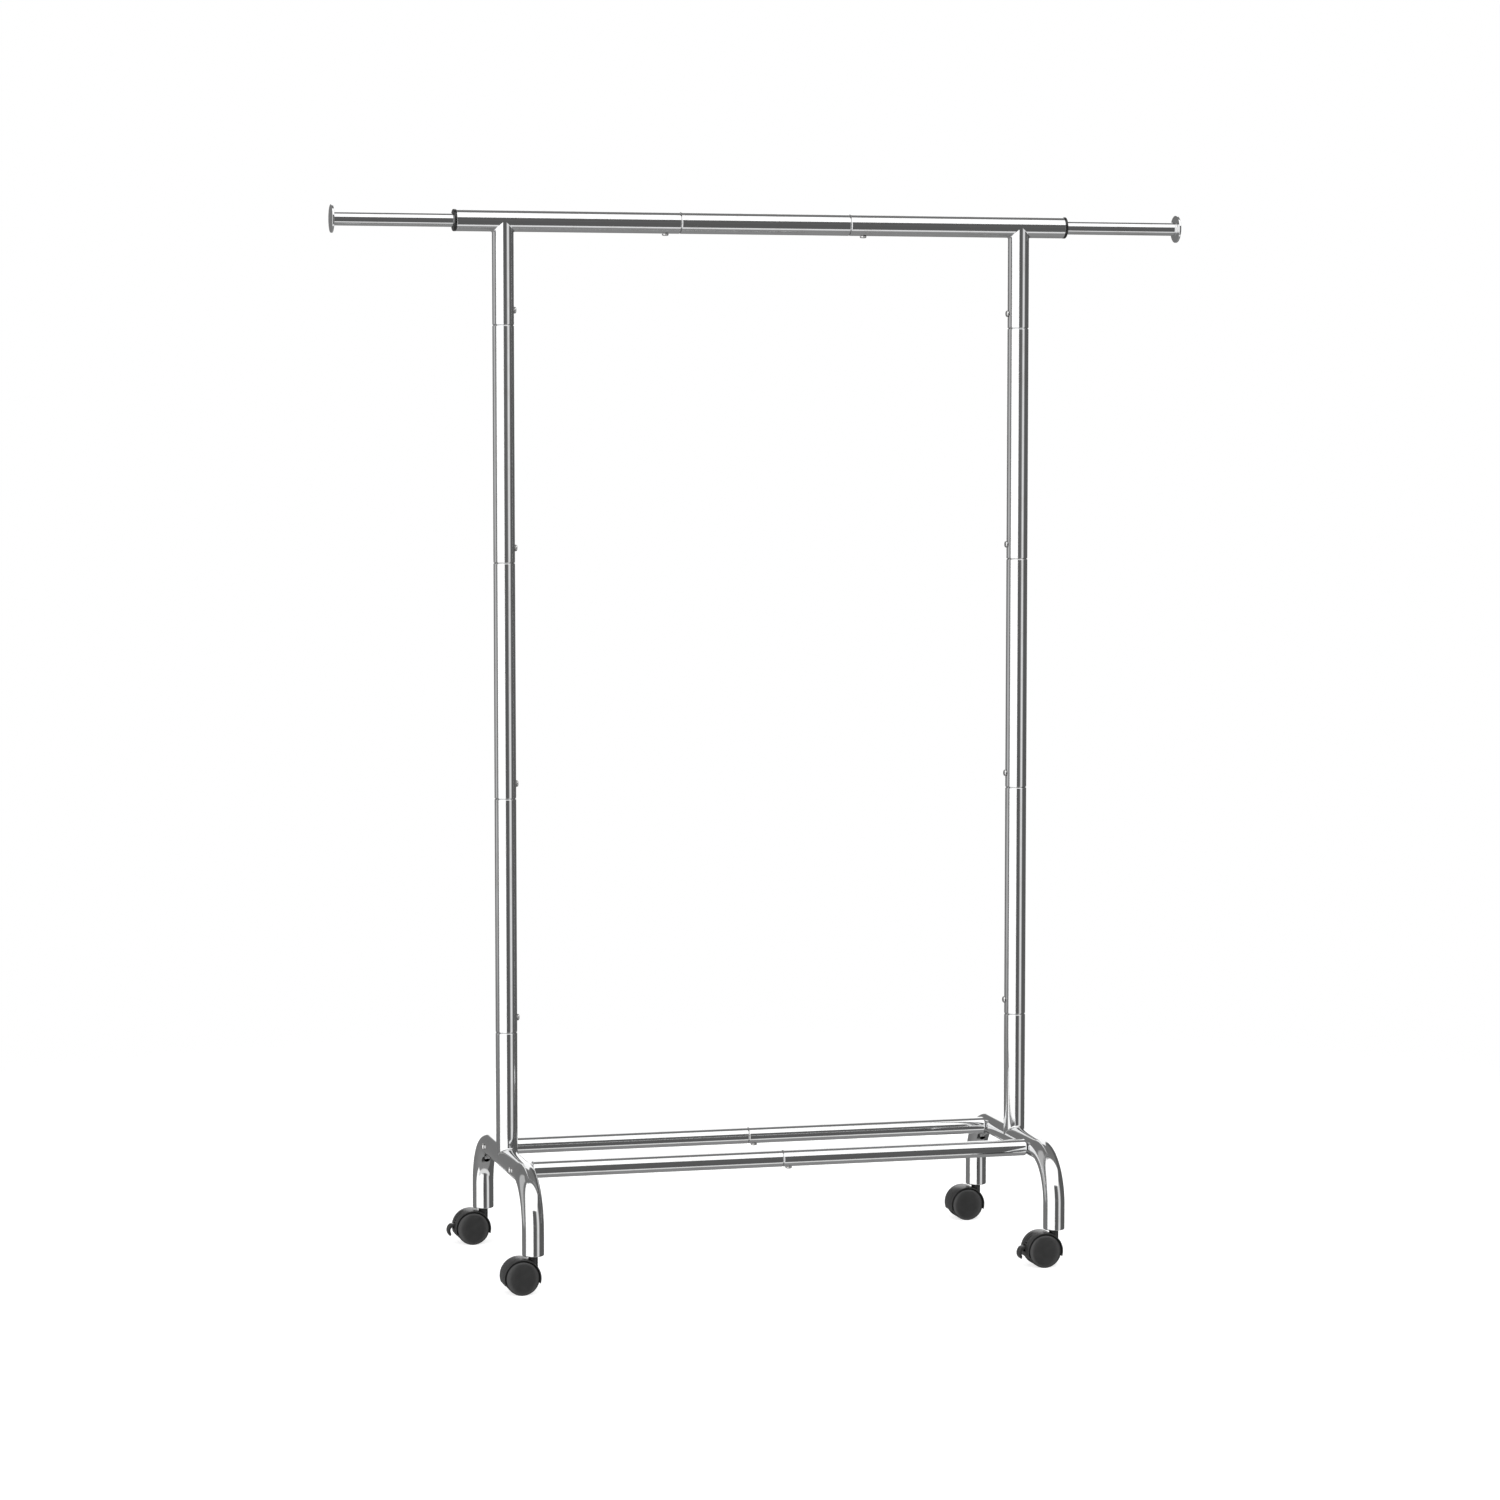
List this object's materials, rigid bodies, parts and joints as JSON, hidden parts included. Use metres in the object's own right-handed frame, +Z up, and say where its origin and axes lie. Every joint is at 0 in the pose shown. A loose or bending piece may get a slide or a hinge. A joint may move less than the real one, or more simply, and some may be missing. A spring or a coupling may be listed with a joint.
{
  "type": "rolling clothes rack",
  "caption": "Knock-down chrome tube clothes rack with a top rail, pull-out end rods, bent leg arches, shelf rails and black twin-wheel swivel casters, some with brake levers.",
  "frame": {"origin": "on the floor, under the middle of the top rail", "axes": "+X to the rack's right along the rail, +Y to its back, +Z up"},
  "size_m": [1.299, 0.424, 1.5695],
  "materials": {
    "chrome_tube": "bright chrome plate on steel tube",
    "screw_steel": "plated pan-head screw",
    "stem_steel": "dark burnished caster stem",
    "black_plastic": "fine-grained moulded black plastic",
    "wheel_plastic": "smooth moulded black nylon"
  },
  "bodies": {
    "frame": {"rail_middle": "chrome_tube", "left_tee": "chrome_tube", "left_rod_collar": "black_plastic", "left_post_upper": "chrome_tube", "left_post_middle": "chrome_tube", "left_post_lower": "chrome_tube", "left_leg_arch": "chrome_tube", "right_tee": "chrome_tube", "right_rod_collar": "black_plastic", "right_post_upper": "chrome_tube", "right_post_middle": "chrome_tube", "right_post_lower": "chrome_tube", "right_leg_arch": "chrome_tube", "shelf_rail_front_left": "chrome_tube", "shelf_rail_front_right": "chrome_tube", "shelf_rail_back_left": "chrome_tube", "shelf_rail_back_right": "chrome_tube", "left_rail_screw": "screw_steel", "right_rail_screw": "screw_steel", "left_post_screw_1": "screw_steel", "left_post_screw_2": "screw_steel", "left_post_screw_3": "screw_steel", "left_post_screw_4": "screw_steel", "right_post_screw_1": "screw_steel", "right_post_screw_2": "screw_steel", "right_post_screw_3": "screw_steel", "right_post_screw_4": "screw_steel", "shelf_screw_front": "screw_steel", "shelf_screw_back": "screw_steel", "leg_screw_front_left": "screw_steel", "leg_screw_front_right": "screw_steel", "leg_screw_back_left": "screw_steel", "leg_screw_back_right": "screw_steel", "caster_front_left_socket": "black_plastic", "caster_front_right_socket": "black_plastic", "caster_back_left_socket": "black_plastic", "caster_back_right_socket": "black_plastic", "caster_front_left_stem": "stem_steel", "caster_front_right_stem": "stem_steel", "caster_back_left_stem": "stem_steel", "caster_back_right_stem": "stem_steel"},
    "left_rod": {"left_rod": "chrome_tube", "left_rod_guide": "black_plastic"},
    "right_rod": {"right_rod": "chrome_tube", "right_rod_guide": "black_plastic"},
    "front_left_caster": {"caster_front_left_hood": "black_plastic"},
    "front_left_front_wheel": {"caster_front_left_wheel_front": "wheel_plastic"},
    "front_left_back_wheel": {"caster_front_left_wheel_back": "wheel_plastic"},
    "front_right_caster": {"caster_front_right_hood": "black_plastic"},
    "front_right_front_wheel": {"caster_front_right_wheel_front": "wheel_plastic"},
    "front_right_back_wheel": {"caster_front_right_wheel_back": "wheel_plastic"},
    "front_right_brake": {"caster_front_right_brake_lever": "black_plastic"},
    "back_left_caster": {"caster_back_left_hood": "black_plastic"},
    "back_left_front_wheel": {"caster_back_left_wheel_front": "wheel_plastic"},
    "back_left_back_wheel": {"caster_back_left_wheel_back": "wheel_plastic"},
    "back_left_brake": {"caster_back_left_brake_lever": "black_plastic"},
    "back_right_caster": {"caster_back_right_hood": "black_plastic"},
    "back_right_front_wheel": {"caster_back_right_wheel_front": "wheel_plastic"},
    "back_right_back_wheel": {"caster_back_right_wheel_back": "wheel_plastic"}
  },
  "joints": [
    {"name": "left_rod_slide", "type": "slide", "parent": "frame", "child": "left_rod", "axis": [-1, 0, 0], "range_m": [-0.176, 0]},
    {"name": "right_rod_slide", "type": "slide", "parent": "frame", "child": "right_rod", "axis": [1, 0, 0], "range_m": [-0.176, 0]},
    {"name": "front_left_swivel", "type": "hinge", "parent": "frame", "child": "front_left_caster", "pos_m": [-0.396, -0.192, 0.05], "axis": [0, 0, 1], "continuous": true},
    {"name": "front_left_front_wheel_spin", "type": "hinge", "parent": "front_left_caster", "child": "front_left_front_wheel", "pos_m": [-0.4145, -0.192, 0.025], "axis": [0, 1, 0], "continuous": true},
    {"name": "front_left_back_wheel_spin", "type": "hinge", "parent": "front_left_caster", "child": "front_left_back_wheel", "pos_m": [-0.4145, -0.192, 0.025], "axis": [0, 1, 0], "continuous": true},
    {"name": "front_right_swivel", "type": "hinge", "parent": "frame", "child": "front_right_caster", "pos_m": [0.396, -0.192, 0.05], "axis": [0, 0, 1], "continuous": true},
    {"name": "front_right_front_wheel_spin", "type": "hinge", "parent": "front_right_caster", "child": "front_right_front_wheel", "pos_m": [0.3775, -0.192, 0.025], "axis": [0, 1, 0], "continuous": true},
    {"name": "front_right_back_wheel_spin", "type": "hinge", "parent": "front_right_caster", "child": "front_right_back_wheel", "pos_m": [0.3775, -0.192, 0.025], "axis": [0, 1, 0], "continuous": true},
    {"name": "front_right_brake_press", "type": "hinge", "parent": "front_right_caster", "child": "front_right_brake", "pos_m": [0.36, -0.192, 0.03], "axis": [0, -1, 0], "range_deg": [0, 16]},
    {"name": "back_left_swivel", "type": "hinge", "parent": "frame", "child": "back_left_caster", "pos_m": [-0.396, 0.192, 0.05], "axis": [0, 0, 1], "continuous": true},
    {"name": "back_left_front_wheel_spin", "type": "hinge", "parent": "back_left_caster", "child": "back_left_front_wheel", "pos_m": [-0.4145, 0.192, 0.025], "axis": [0, 1, 0], "continuous": true},
    {"name": "back_left_back_wheel_spin", "type": "hinge", "parent": "back_left_caster", "child": "back_left_back_wheel", "pos_m": [-0.4145, 0.192, 0.025], "axis": [0, 1, 0], "continuous": true},
    {"name": "back_left_brake_press", "type": "hinge", "parent": "back_left_caster", "child": "back_left_brake", "pos_m": [-0.432, 0.192, 0.03], "axis": [0, -1, 0], "range_deg": [0, 16]},
    {"name": "back_right_swivel", "type": "hinge", "parent": "frame", "child": "back_right_caster", "pos_m": [0.396, 0.192, 0.05], "axis": [0, 0, 1], "continuous": true},
    {"name": "back_right_front_wheel_spin", "type": "hinge", "parent": "back_right_caster", "child": "back_right_front_wheel", "pos_m": [0.3775, 0.192, 0.025], "axis": [0, 1, 0], "continuous": true},
    {"name": "back_right_back_wheel_spin", "type": "hinge", "parent": "back_right_caster", "child": "back_right_back_wheel", "pos_m": [0.3775, 0.192, 0.025], "axis": [0, 1, 0], "continuous": true}
  ]
}
